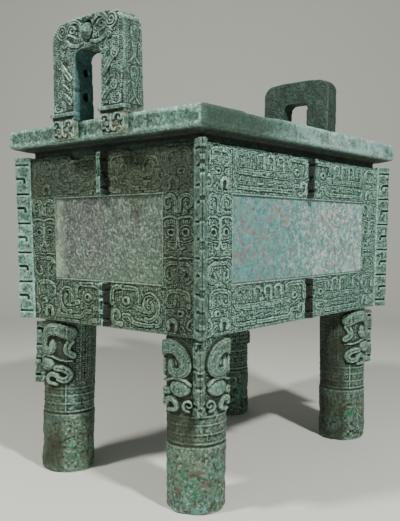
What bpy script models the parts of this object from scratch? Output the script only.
"""A large rectangular bronze vessel on four legs: one cast body, and two upright ears cast onto its lip."""

import math

import bmesh
import bpy
from mathutils import Vector

# Driving sizes, in metres
RIM_LENGTH = 1.100
RIM_WIDTH = 0.790
RIM_TOP = 1.054
RIM_FACE = 0.055
RIM_OVERHANG = 0.044
RIM_CORNER_RADIUS = 0.012
SOFFIT_RISE = 0.012
NECK_HEIGHT = 0.018
NECK_RECESS = 0.014
WALL = 0.022
FLOOR = 0.024
BODY_BOTTOM = 0.470
WALL_TAPER = 0.008
CORNER_RADIUS = 0.006

# Bands, strips and panels of the four walls
BAND_MARGIN = 0.006
TOP_BAND = 0.118
BOTTOM_BAND = 0.122
STRIP_WIDTH = 0.126
PANEL_RECESS = 0.003
FRAME_LINE = 0.005
RELIEF = 0.008
RELIEF_ROOT = 0.005
DRAGON_NECK = 0.605

# Flanges on the corners, in the middle of each band and on the legs
FLANGE_THICK = 0.034
FLANGE_TIP = 0.014
FLANGE_REACH = 0.042
MIDDLE_FLANGE_REACH = 0.028
FRONT_MIDDLE_SHIFT = 0.020
FLANGE_ROOT = 0.010
SLOT_PITCH = 0.045
SHORT_SLOT_PITCH = 0.058
SLOT_WIDTH = 0.010
SLOT_DEPTH = 0.005

# Legs
LEG_RADIUS = 0.078
LEG_FOOT_RADIUS = 0.081
LEG_TOP_RADIUS = 0.080
LEG_INSET = 0.006
SLEEVE_HEIGHT = 0.178
SLEEVE_STEP = 0.003
FOOT_CHAMFER = 0.005
LEG_SPLAY = 0.018
LEG_SIDES = 16
LEG_RELIEF = 0.014
LEG_FLANGE_REACH = 0.032
LEG_MASK_LOW = 0.272
LEG_MASK_HIGH = 0.452

# Ears
EAR_HEIGHT = 0.276
EAR_WIDTH = 0.290
EAR_DEPTH = 0.070
EAR_TAPER = 0.010
EAR_PROUD = 0.016
EAR_OPENING_WIDTH = 0.108
EAR_OPENING_HEIGHT = 0.190
EAR_SHOULDER = 0.044
EAR_OPENING_RADIUS = 0.028
EAR_CROWN = 0.006
EAR_RELIEF = 0.006
COLLAR_HEIGHT = 0.016
COLLAR_LIFT = 0.004
COLLAR_PROUD = 0.010
COLLAR_BACK = 0.016
LAP_THICK = 0.020
LAP_DROP = 0.054
LAP_MARGIN = 0.003
MOUTH_HEAD_RADIUS = 0.022
CORE_HOLE_WIDTH = 0.022
CORE_HOLE_HEIGHT = 0.025
CORE_HOLE_DEPTH = 0.030
CORE_HOLE_BACK = 0.042
CORE_HOLE_PLACES = (0.35, 0.705)
CAST_GAP = 0.0003

# Worked out from the driving sizes
RIM_BOTTOM = RIM_TOP - RIM_FACE
NECK_TOP = RIM_BOTTOM - SOFFIT_RISE
WALL_TOP = NECK_TOP - NECK_HEIGHT
HALF_LENGTH = RIM_LENGTH / 2 - RIM_OVERHANG
HALF_WIDTH = RIM_WIDTH / 2 - RIM_OVERHANG
BAND_TOP = WALL_TOP - BAND_MARGIN
PANEL_TOP = BAND_TOP - TOP_BAND
BAND_LOW = BODY_BOTTOM + BAND_MARGIN
PANEL_BOTTOM = BAND_LOW + BOTTOM_BAND
LEG_CENTRE_X = HALF_LENGTH - WALL_TAPER - LEG_RADIUS - LEG_INSET
LEG_CENTRE_Y = HALF_WIDTH - WALL_TAPER - LEG_RADIUS - LEG_INSET
EAR_FACE = RIM_LENGTH / 2 + EAR_PROUD
EAR_POST_WIDTH = (EAR_WIDTH - EAR_OPENING_WIDTH) / 2
EAR_POST_MIDDLE = (EAR_WIDTH + EAR_OPENING_WIDTH) / 4
MOUTH_UP = (EAR_HEIGHT + EAR_OPENING_HEIGHT) / 2

# Each wall: the direction to the right as it is looked at, and the direction it faces
WALLS = {
    "front": (Vector((1, 0, 0)), Vector((0, -1, 0)), HALF_LENGTH, HALF_WIDTH),
    "back": (Vector((-1, 0, 0)), Vector((0, 1, 0)), HALF_LENGTH, HALF_WIDTH),
    "left": (Vector((0, -1, 0)), Vector((-1, 0, 0)), HALF_WIDTH, HALF_LENGTH),
    "right": (Vector((0, 1, 0)), Vector((1, 0, 0)), HALF_WIDTH, HALF_LENGTH),
}


# Scene and materials

def clear_scene():
    for thing in list(bpy.data.objects):
        bpy.data.objects.remove(thing, do_unlink=True)


def new_collection(name):
    group = bpy.data.collections.new(name)
    bpy.context.scene.collection.children.link(group)
    return group


def bronze(name, colour, roughness):
    """Corroded cast bronze: a green patina over metal."""
    material = bpy.data.materials.new(name)
    material.use_nodes = True
    shader = material.node_tree.nodes["Principled BSDF"]
    shader.inputs["Base Color"].default_value = (*colour, 1)
    shader.inputs["Roughness"].default_value = roughness
    shader.inputs["Metallic"].default_value = 0.25
    return material


def place(mesh, name, collection, hidden=False):
    """Link a mesh as a named object, and mark it as a working shape if it only cuts or joins others."""
    thing = bpy.data.objects.new(name, mesh)
    collection.objects.link(thing)
    if hidden:
        thing.hide_render = True
        thing.display_type = "WIRE"
    return thing


def union(target, helper, overlapping=False):
    """Join a helper's solids to the target; overlapping says that they may cross one another."""
    step = target.modifiers.new("join " + helper.name, "BOOLEAN")
    step.operation = "UNION"
    step.solver = "EXACT"
    step.use_self = overlapping
    step.object = helper


def cut(target, helper):
    """Cut a helper's solid out of the target."""
    step = target.modifiers.new("cut " + helper.name, "BOOLEAN")
    step.operation = "DIFFERENCE"
    step.solver = "EXACT"
    step.object = helper


# Paths and outlines in a flat frame: across, up

def arc(across, up, radius, start, end, steps):
    """Points on an arc, from one angle to another in degrees."""
    turns = [math.radians(start + (end - start) * i / steps) for i in range(steps + 1)]
    return [(across + radius * math.cos(t), up + radius * math.sin(t)) for t in turns]


def ribbon(path, width, tip=0.45):
    """The outline of a band along a path, which narrows to a share of its width at its last point."""
    count = len(path)
    left, right = [], []
    for i, (x, y) in enumerate(path):
        before = path[max(i - 1, 0)]
        after = path[min(i + 1, count - 1)]
        along = Vector((after[0] - before[0], after[1] - before[1])).normalized()
        half = width / 2 * (1 - (1 - tip) * i / (count - 1))
        left.append((x - along.y * half, y + along.x * half))
        right.append((x + along.y * half, y - along.x * half))
    return left + right[::-1]


def boss(across, up, half_width, half_height, sides=6):
    """An oval outline, such as an eye."""
    turns = [2 * math.pi * (i + 0.5) / sides for i in range(sides)]
    return [(across + half_width * math.cos(t), up + half_height * math.sin(t)) for t in turns]


def mirrored(outlines):
    return [[(-x, y) for x, y in outline] for outline in outlines]


def moved(outlines, across, up):
    return [[(x + across, y + up) for x, y in outline] for outline in outlines]


def thick_outline(outline, thickness):
    """A closed mesh of one flat outline, filled with compact triangles, which can be bent round a leg."""
    curve = bpy.data.curves.new("outline", "CURVE")
    curve.dimensions = "2D"
    curve.fill_mode = "BOTH"
    curve.extrude = thickness / 2
    line = curve.splines.new("POLY")
    line.points.add(len(outline) - 1)
    line.use_cyclic_u = True
    for point, (x, y) in zip(line.points, outline):
        point.co = (x, y, 0, 1)
    holder = bpy.data.objects.new("outline", curve)
    bpy.context.scene.collection.objects.link(holder)
    bpy.context.view_layer.update()
    mesh = bpy.data.meshes.new_from_object(holder.evaluated_get(bpy.context.evaluated_depsgraph_get()))
    bpy.data.objects.remove(holder, do_unlink=True)
    work = bmesh.new()
    work.from_mesh(mesh)
    bmesh.ops.remove_doubles(work, verts=work.verts, dist=0.00001)
    inner_edges = [
        edge for edge in work.edges
        if len(edge.link_faces) == 2 and all(len(face.verts) == 3 for face in edge.link_faces)
    ]
    bmesh.ops.beautify_fill(work, faces=work.faces, edges=inner_edges)
    work.to_mesh(mesh)
    work.free()
    return mesh


def slab(outlines, low, high, to_world):
    """A mesh of flat outlines, thick from low to high, whose points to_world carries to their place."""
    middle = (low + high) / 2
    work = bmesh.new()
    for outline in outlines:
        mesh = thick_outline(outline, high - low)
        work.from_mesh(mesh)
        bpy.data.meshes.remove(mesh)
    for vert in work.verts:
        vert.co = to_world(vert.co.x, vert.co.y, vert.co.z + middle)
    bmesh.ops.recalc_face_normals(work, faces=work.faces)
    result = bpy.data.meshes.new("slab")
    work.to_mesh(result)
    work.free()
    return result


def merged(meshes, name):
    """One mesh of several that don't touch."""
    work = bmesh.new()
    for mesh in meshes:
        work.from_mesh(mesh)
        bpy.data.meshes.remove(mesh)
    result = bpy.data.meshes.new(name)
    work.to_mesh(result)
    work.free()
    return result


# Places on the vessel

def wall_inset(z):
    """How far the wall has drawn in at a height, against its top."""
    return WALL_TAPER * (WALL_TOP - z) / (WALL_TOP - BODY_BOTTOM)


def on_wall(wall):
    """Carry (across, height, out) to the sloping face of a wall."""
    right, out, half_across, half_out = WALLS[wall]

    def carry(across, z, depth):
        inset = wall_inset(z)
        spread = across * (half_across - inset) / half_across
        place_out = half_out - inset + depth
        return right * spread + out * place_out + Vector((0, 0, z))

    return carry


def on_corner(side_x, side_y):
    """Carry (across the flange, height, out along the diagonal) to a corner of the body."""
    out = Vector((side_x, side_y, 0)).normalized()
    right = Vector((-out.y, out.x, 0))

    def carry(across, z, depth):
        inset = wall_inset(z)
        corner = Vector((side_x * (HALF_LENGTH - inset), side_y * (HALF_WIDTH - inset), z))
        return corner + right * across + out * depth

    return carry


def leg_centre(side_x, side_y, z):
    """The middle of a leg at a height; the back left leg was cast a little splayed."""
    splay = LEG_SPLAY * (1 - z / BODY_BOTTOM) if (side_x, side_y) == (-1, 1) else 0
    return Vector((side_x * (LEG_CENTRE_X + splay), side_y * LEG_CENTRE_Y, z))


def on_leg(side_x, side_y):
    """Carry (arc length from the outer diagonal, height, out from the leg's face) to a leg."""
    start = math.atan2(side_y, side_x)

    def carry(across, z, depth):
        turn = start + across / LEG_RADIUS
        reach = LEG_RADIUS + depth
        return leg_centre(side_x, side_y, z) + Vector((math.cos(turn), math.sin(turn), 0)) * reach

    return carry


def narrowed(to_world, reach):
    """The same places on a flange, which thins from the wall to its tip."""

    def carry(across, z, depth):
        width = FLANGE_THICK + (FLANGE_TIP - FLANGE_THICK) * depth / reach
        return to_world(across * width / FLANGE_THICK, z, depth)

    return carry


# Carved forms

def slotted_bar(low, high, pitch):
    """The edge view of a flange: a bar with V slots down both sides, a pitch apart about its middle."""
    half = FLANGE_THICK / 2
    count = max(1, round((high - low) / pitch))
    first = (low + high - (count - 1) * pitch) / 2
    side = []
    for i in range(count):
        middle = first + i * pitch
        side.append((half, middle - SLOT_WIDTH / 2))
        side.append((half - SLOT_DEPTH, middle))
        side.append((half, middle + SLOT_WIDTH / 2))
    right = [(half, low)] + side + [(half, high)]
    return right + [(-x, z) for x, z in reversed(right)]


def dragon(reach, low, high):
    """Half of a band: a dragon in profile, its snout at the middle flange and its tail at the strip."""
    h = high - low
    neck = DRAGON_NECK * (HALF_WIDTH - STRIP_WIDTH)
    width = 0.16 * h
    snout = arc(0.46 * h, 0.30 * h, 0.19 * h, 300, 180, 2)
    back = [(0.29 * h, 0.84 * h), (neck - 0.12 * h, 0.82 * h), (neck, 0.46 * h)]
    tail = arc(reach - 0.38 * h, 0.64 * h, 0.20 * h, -90, 90, 2)
    limb = [(neck - 0.16 * h, 0.14 * h), (reach - 0.34 * h, 0.14 * h)]
    eye = boss(neck - 0.44 * h, 0.52 * h, 0.16 * h, 0.12 * h, 5)
    return moved([ribbon(snout + back + tail, width), ribbon(limb, width), eye], 0, low)


def corner_mask(low, high):
    """Half of a mask that a corner flange parts, from the corner side of a strip at zero to minus."""
    h = high - low
    horn = arc(-0.50 * h, 0.70 * h, 0.20 * h, -60, 160, 3)
    return moved([ribbon(horn, 0.15 * h), boss(-0.48 * h, 0.26 * h, 0.17 * h, 0.13 * h, 4)], 0, low)


def ox_head(middle, low, high):
    """A small horned head in the middle of a strip."""
    h = high - low
    horn = arc(0.15 * h, 0.78 * h, 0.13 * h, -80, 100, 2)
    muzzle = [(0.0, 0.62 * h), (0.09 * h, 0.42 * h), (0.11 * h, 0.14 * h), (0.0, 0.08 * h)]
    muzzle = muzzle + [(-x, y) for x, y in reversed(muzzle[1:-1])]
    half = [ribbon(horn, 0.10 * h)]
    return moved(half + mirrored(half) + [muzzle], middle, low)


def leg_mask():
    """Half of the mask on a leg: a horn that hooks in, a round eye, a nose curl and a jaw."""
    h = LEG_MASK_HIGH - LEG_MASK_LOW
    width = 0.12 * h
    horn = [(0.60 * h, 0.92 * h)] + arc(0.36 * h, 0.72 * h, 0.19 * h, 90, 290, 3)
    jaw = [(0.62 * h, 0.22 * h), (0.44 * h, 0.16 * h), (0.28 * h, 0.06 * h)]
    nose = boss(0.17 * h, 0.18 * h, 0.06 * h, 0.09 * h, 4)
    eye = boss(0.38 * h, 0.37 * h, 0.13 * h, 0.10 * h, 5)
    return moved([ribbon(horn, width), ribbon(jaw, width), nose, eye], 0, LEG_MASK_LOW)


# The body

def rounded_rectangle(half_x, half_y, radius, z, steps=2):
    """A ring of points around a rectangle with rounded corners."""
    ring = []
    for quarter, (side_x, side_y) in enumerate(((1, 1), (-1, 1), (-1, -1), (1, -1))):
        centre_x = side_x * (half_x - radius)
        centre_y = side_y * (half_y - radius)
        start = 90 * quarter
        corner = arc(centre_x, centre_y, radius, start, start + 90, steps)
        ring += [Vector((x, y, z)) for x, y in corner]
    return ring


def body_mesh():
    """The open box: a skin through rings that run up the outside, over the lip and down the inside."""
    bottom_x = HALF_LENGTH - WALL_TAPER
    bottom_y = HALF_WIDTH - WALL_TAPER
    neck_x = HALF_LENGTH - NECK_RECESS
    neck_y = HALF_WIDTH - NECK_RECESS
    lip_x = RIM_LENGTH / 2
    lip_y = RIM_WIDTH / 2
    floor_top = BODY_BOTTOM + FLOOR
    inner_drop = wall_inset(floor_top)
    rings = [
        (bottom_x, bottom_y, CORNER_RADIUS, BODY_BOTTOM),
        (HALF_LENGTH, HALF_WIDTH, CORNER_RADIUS, WALL_TOP),
        (neck_x, neck_y, CORNER_RADIUS, WALL_TOP),
        (neck_x, neck_y, CORNER_RADIUS, NECK_TOP),
        (lip_x, lip_y, RIM_CORNER_RADIUS, RIM_BOTTOM),
        (lip_x, lip_y, RIM_CORNER_RADIUS, RIM_TOP),
        (HALF_LENGTH - WALL, HALF_WIDTH - WALL, CORNER_RADIUS, RIM_TOP),
        (HALF_LENGTH - WALL, HALF_WIDTH - WALL, CORNER_RADIUS, WALL_TOP),
        (HALF_LENGTH - WALL - inner_drop, HALF_WIDTH - WALL - inner_drop, CORNER_RADIUS, floor_top),
    ]
    work = bmesh.new()
    loops = [[work.verts.new(point) for point in rounded_rectangle(*ring)] for ring in rings]
    for lower, upper in zip(loops, loops[1:]):
        for i in range(len(lower)):
            after = (i + 1) % len(lower)
            work.faces.new((lower[i], lower[after], upper[after], upper[i]))
    work.faces.new(loops[0][::-1])
    work.faces.new(loops[-1])
    bmesh.ops.recalc_face_normals(work, faces=work.faces)
    mesh = bpy.data.meshes.new("body")
    work.to_mesh(mesh)
    work.free()
    return mesh


def panel_cutter(wall):
    """A thin slab that sinks the plain panel of a wall, inside a frame line that stays."""
    half = WALLS[wall][2] - STRIP_WIDTH - FRAME_LINE
    low, high = PANEL_BOTTOM + FRAME_LINE, PANEL_TOP - FRAME_LINE
    outline = [(-half, low), (half, low), (half, high), (-half, high)]
    return slab([outline], -PANEL_RECESS, RELIEF, on_wall(wall))


def middle_shift(wall):
    """How far the middle of a wall's bands lies to the right of the wall's own middle."""
    return FRONT_MIDDLE_SHIFT if wall == "front" else 0


def wall_relief(wall):
    """Dragons in the bands, and masks and an ox head in the strips of one wall."""
    half_across = WALLS[wall][2]
    reach = half_across - STRIP_WIDTH
    corner = half_across - 0.7 * FLANGE_THICK
    shift = middle_shift(wall)
    strips = ox_head(reach + STRIP_WIDTH * 0.42, PANEL_BOTTOM, PANEL_TOP)
    bands = []
    for low, high in ((BAND_LOW, PANEL_BOTTOM), (PANEL_TOP, BAND_TOP)):
        strips += moved(corner_mask(low, high), corner, 0)
        bands += moved(dragon(reach - shift, low, high), shift, 0)
        bands += moved(mirrored(dragon(reach + shift, low, high)), shift, 0)
    return slab(bands + strips + mirrored(strips), -RELIEF_ROOT, RELIEF, on_wall(wall))


def middle_flanges(wall):
    """The short slotted flanges in the middle of the upper and lower bands."""
    bands = ((BAND_LOW, PANEL_BOTTOM), (PANEL_TOP, BAND_TOP))
    bars = [slotted_bar(low, high, SHORT_SLOT_PITCH) for low, high in bands]
    shift = middle_shift(wall)
    straight = narrowed(on_wall(wall), MIDDLE_FLANGE_REACH)

    def carry(across, z, depth):
        return straight(across, z, depth) + WALLS[wall][0] * shift

    return slab(bars, -FLANGE_ROOT, MIDDLE_FLANGE_REACH, carry)


def leg_mesh(side_x, side_y):
    """One leg: a turned shape with a thicker sleeve at its foot, whose top lies inside the floor."""
    profile = [
        (LEG_TOP_RADIUS, BODY_BOTTOM + FLOOR / 2),
        (LEG_RADIUS, SLEEVE_HEIGHT + SLEEVE_STEP),
        (LEG_RADIUS + SLEEVE_STEP, SLEEVE_HEIGHT),
        (LEG_FOOT_RADIUS, FOOT_CHAMFER),
        (LEG_FOOT_RADIUS - FOOT_CHAMFER, 0),
    ]
    work = bmesh.new()
    loops = []
    for radius, z in profile:
        middle = leg_centre(side_x, side_y, min(z, BODY_BOTTOM))
        ring = arc(middle.x, middle.y, radius, 0, 360, LEG_SIDES)[:-1]
        loops.append([work.verts.new((x, y, z)) for x, y in ring])
    for upper, lower in zip(loops, loops[1:]):
        for i in range(LEG_SIDES):
            after = (i + 1) % LEG_SIDES
            work.faces.new((lower[i], lower[after], upper[after], upper[i]))
    work.faces.new(loops[0])
    work.faces.new(loops[-1][::-1])
    bmesh.ops.recalc_face_normals(work, faces=work.faces)
    mesh = bpy.data.meshes.new("leg")
    work.to_mesh(mesh)
    work.free()
    return mesh


def build_vessel(collection, helpers, material):
    corners = [(x, y) for x in (-1, 1) for y in (-1, 1)]
    vessel = place(body_mesh(), "vessel", collection)
    vessel.data.materials.append(material)

    panels = place(merged([panel_cutter(wall) for wall in WALLS], "panels"), "panels", helpers, True)
    cut(vessel, panels)

    legs = place(merged([leg_mesh(*corner) for corner in corners], "legs"), "legs", helpers, True)
    union(vessel, legs)

    flanges = [middle_flanges(wall) for wall in WALLS]
    bar = [slotted_bar(BAND_LOW, BAND_TOP, SLOT_PITCH)]
    leg_bar = [slotted_bar(LEG_MASK_LOW, LEG_MASK_HIGH, SHORT_SLOT_PITCH)]
    for corner in corners:
        flanges.append(slab(bar, -FLANGE_ROOT, FLANGE_REACH, narrowed(on_corner(*corner), FLANGE_REACH)))
        on_shaft = narrowed(on_leg(*corner), LEG_FLANGE_REACH)
        flanges.append(slab(leg_bar, -FLANGE_ROOT, LEG_FLANGE_REACH, on_shaft))
    union(vessel, place(merged(flanges, "flanges"), "flanges", helpers, True))

    mask = leg_mask()
    masks = [slab(mask + mirrored(mask), -RELIEF_ROOT, LEG_RELIEF, on_leg(*corner)) for corner in corners]
    union(vessel, place(merged(masks, "leg masks"), "leg masks", helpers, True))
    relief = [wall_relief(wall) for wall in WALLS]
    union(vessel, place(merged(relief, "wall relief"), "wall relief", helpers, True), overlapping=True)


# The ears

def ear_outline():
    """The arch in a flat frame: across from its middle, up from the top of the lip."""
    half = EAR_WIDTH / 2
    inner = EAR_OPENING_WIDTH / 2
    shoulder_up = EAR_HEIGHT - EAR_CROWN - EAR_SHOULDER
    outer = [(half, 0)] + arc(half - EAR_SHOULDER, shoulder_up, EAR_SHOULDER, 0, 75, 3)
    crown = [(inner, EAR_HEIGHT - EAR_CROWN / 3)]
    arch = arc(
        inner - EAR_OPENING_RADIUS, EAR_OPENING_HEIGHT - EAR_OPENING_RADIUS, EAR_OPENING_RADIUS, 90, 0, 3
    )
    right_out = outer + crown
    right_in = arch + [(inner, 0)]
    left_out = [(-x, y) for x, y in reversed(right_out)]
    left_in = [(-x, y) for x, y in reversed(right_in)]
    return right_out + left_out + left_in + right_in


def on_ear(side_x, depth_zero):
    """Carry (across, height above the lip, out) to an ear, with its depth counted from depth_zero."""
    right = Vector((0, side_x, 0))
    out = Vector((side_x, 0, 0))

    def carry(across, up, depth):
        thinned = depth * (1 - EAR_TAPER / EAR_DEPTH * up / EAR_HEIGHT) if depth < 0 else depth
        return right * across + out * (depth_zero + thinned) + Vector((0, 0, RIM_TOP + CAST_GAP + up))

    return carry


def tiger():
    """Half of the relief on an ear's outer face: a tiger whose open jaws reach the middle of the arch."""
    post = EAR_POST_MIDDLE
    wide = EAR_POST_WIDTH
    arch = EAR_HEIGHT - EAR_OPENING_HEIGHT
    upper_jaw = [
        (post - 0.13 * wide, MOUTH_UP + 0.10 * arch),
        (0.56 * post, MOUTH_UP + 0.30 * arch),
        (0.20 * post, MOUTH_UP + 0.36 * arch),
    ]
    lower_jaw = [
        (post - 0.13 * wide, MOUTH_UP - 0.16 * arch),
        (0.56 * post, MOUTH_UP - 0.22 * arch),
        (0.24 * post, MOUTH_UP - 0.40 * arch),
    ]
    back = [
        (post + 0.13 * wide, MOUTH_UP - 0.32 * arch),
        (post + 0.11 * wide, 0.62 * EAR_OPENING_HEIGHT),
        (post, 0.34 * EAR_OPENING_HEIGHT),
    ]
    tail = arc(post, 0.22 * EAR_OPENING_HEIGHT, 0.22 * wide, 200, 380, 3)
    return [
        ribbon(upper_jaw, 0.17 * arch, 0.7),
        ribbon(lower_jaw, 0.17 * arch, 0.7),
        ribbon(back, 0.40 * wide, 0.6),
        ribbon(tail, 0.13 * wide),
        boss(post + 0.15 * wide, MOUTH_UP + 0.12 * arch, 0.20 * arch, 0.20 * arch),
    ]


def fish(middle, length):
    """A fish outline, head up, with a forked tail."""
    side = [
        (0.0, 0.50 * length),
        (0.13 * length, 0.28 * length),
        (0.15 * length, 0.0),
        (0.05 * length, -0.30 * length),
        (0.16 * length, -0.50 * length),
        (0.0, -0.42 * length),
    ]
    return moved([side + [(-x, y) for x, y in reversed(side[1:-1])]], 0, middle)


def rim_mask(middle):
    """The small horned head on the lip below an ear's post."""
    h = LAP_DROP
    horn = ribbon(arc(0.37 * h, 0.63 * h, 0.24 * h, -110, 80, 2), 0.18 * h)
    snout = [(0.0, 0.82 * h), (0.11 * h, 0.48 * h), (0.17 * h, 0.15 * h), (0.0, 0.06 * h)]
    snout = snout + [(-x, y) for x, y in reversed(snout[1:-1])]
    return moved([horn] + mirrored([horn]) + [snout], middle, -h)


def mouth_head(middle):
    """The small round head held in the two open mouths."""
    work = bmesh.new()
    bmesh.ops.create_uvsphere(work, u_segments=7, v_segments=4, radius=MOUTH_HEAD_RADIUS)
    bmesh.ops.translate(work, verts=work.verts, vec=middle)
    mesh = bpy.data.meshes.new("mouth head")
    work.to_mesh(mesh)
    work.free()
    return mesh


def ear_fish(side_x, side_y):
    """Two fish, one above the other, on a side edge of an ear."""
    out = Vector((0, side_y, 0))
    right = Vector((1, 0, 0))
    middle = side_x * (EAR_FACE - EAR_DEPTH / 2)

    def carry(across, up, depth):
        base = Vector((middle, 0, RIM_TOP + CAST_GAP + up))
        return base + right * across + out * (EAR_WIDTH / 2 + depth)

    upper = fish(0.66 * EAR_HEIGHT, 0.30 * EAR_HEIGHT)
    lower = fish(0.29 * EAR_HEIGHT, 0.34 * EAR_HEIGHT)
    return slab(upper + lower, -RELIEF_ROOT, EAR_RELIEF / 2, carry)


def core_holes(side_x, side_y):
    """Two oval holes left by the core supports, one above the other in the inner side of a post."""
    out = Vector((0, -side_y, 0))
    right = Vector((1, 0, 0))
    middle = side_x * (EAR_FACE - CORE_HOLE_BACK)
    inner = EAR_OPENING_WIDTH / 2

    def carry(across, up, depth):
        base = Vector((middle, side_y * inner, RIM_TOP + CAST_GAP + up))
        return base + right * across + out * depth

    half_across, half_up = CORE_HOLE_WIDTH / 2, CORE_HOLE_HEIGHT / 2
    holes = [boss(0, share * EAR_OPENING_HEIGHT, half_across, half_up, 8) for share in CORE_HOLE_PLACES]
    return slab(holes, -CORE_HOLE_DEPTH, RELIEF_ROOT, carry)


def at_posts(half_width, low, high):
    """The outlines of two blocks, one around the foot of each post of an ear."""
    block = [(-half_width, low), (half_width, low), (half_width, high), (-half_width, high)]
    return moved([block], -EAR_POST_MIDDLE, 0) + moved([block], EAR_POST_MIDDLE, 0)


def build_ear(name, side_x, collection, helpers, material, core_hole_side=0):
    on_face = on_ear(side_x, EAR_FACE)
    lap_in = RIM_LENGTH / 2 + CAST_GAP
    on_lip = on_ear(side_x, lap_in)
    ear = place(slab([ear_outline()], -EAR_DEPTH, 0, on_face), name, collection)
    ear.data.materials.append(material)

    # Laps that hold the lip from outside, each with a collar above it
    laps = at_posts(EAR_POST_WIDTH / 2 - LAP_MARGIN, -LAP_DROP, COLLAR_LIFT)
    lap_mesh = slab(laps, 0, LAP_THICK, on_lip)
    union(ear, place(lap_mesh, name + " laps", helpers, True))
    collars = at_posts((EAR_POST_WIDTH + COLLAR_PROUD) / 2, COLLAR_LIFT / 2, COLLAR_LIFT + COLLAR_HEIGHT)
    collar_mesh = slab(collars, -COLLAR_BACK, COLLAR_PROUD, on_face)
    union(ear, place(collar_mesh, name + " collars", helpers, True))

    # Tigers, the head in their jaws, the masks on the laps and the fish on the sides
    relief = tiger()
    masks = rim_mask(EAR_POST_MIDDLE) + rim_mask(-EAR_POST_MIDDLE)
    meshes = [
        slab(relief + mirrored(relief), -RELIEF_ROOT, EAR_RELIEF, on_face),
        slab(masks, LAP_THICK - RELIEF_ROOT, LAP_THICK + EAR_RELIEF, on_lip),
        mouth_head(on_face(0, MOUTH_UP, 0)),
    ]
    meshes += [ear_fish(side_x, side_y) for side_y in (-1, 1)]
    union(ear, place(merged(meshes, name + " relief"), name + " relief", helpers, True), overlapping=True)

    if core_hole_side:
        cut(ear, place(core_holes(side_x, core_hole_side), name + " core holes", helpers, True))


def main():
    clear_scene()
    parts = new_collection("bronze ding vessel")
    helpers = new_collection("working shapes")
    body_bronze = bronze("patinated bronze", (0.20, 0.27, 0.23), 0.62)
    ear_bronze = bronze("ear bronze", (0.22, 0.29, 0.25), 0.60)
    build_vessel(parts, helpers, body_bronze)
    build_ear("ear_left", -1, parts, helpers, ear_bronze, core_hole_side=1)
    build_ear("ear_right", 1, parts, helpers, ear_bronze)


main()
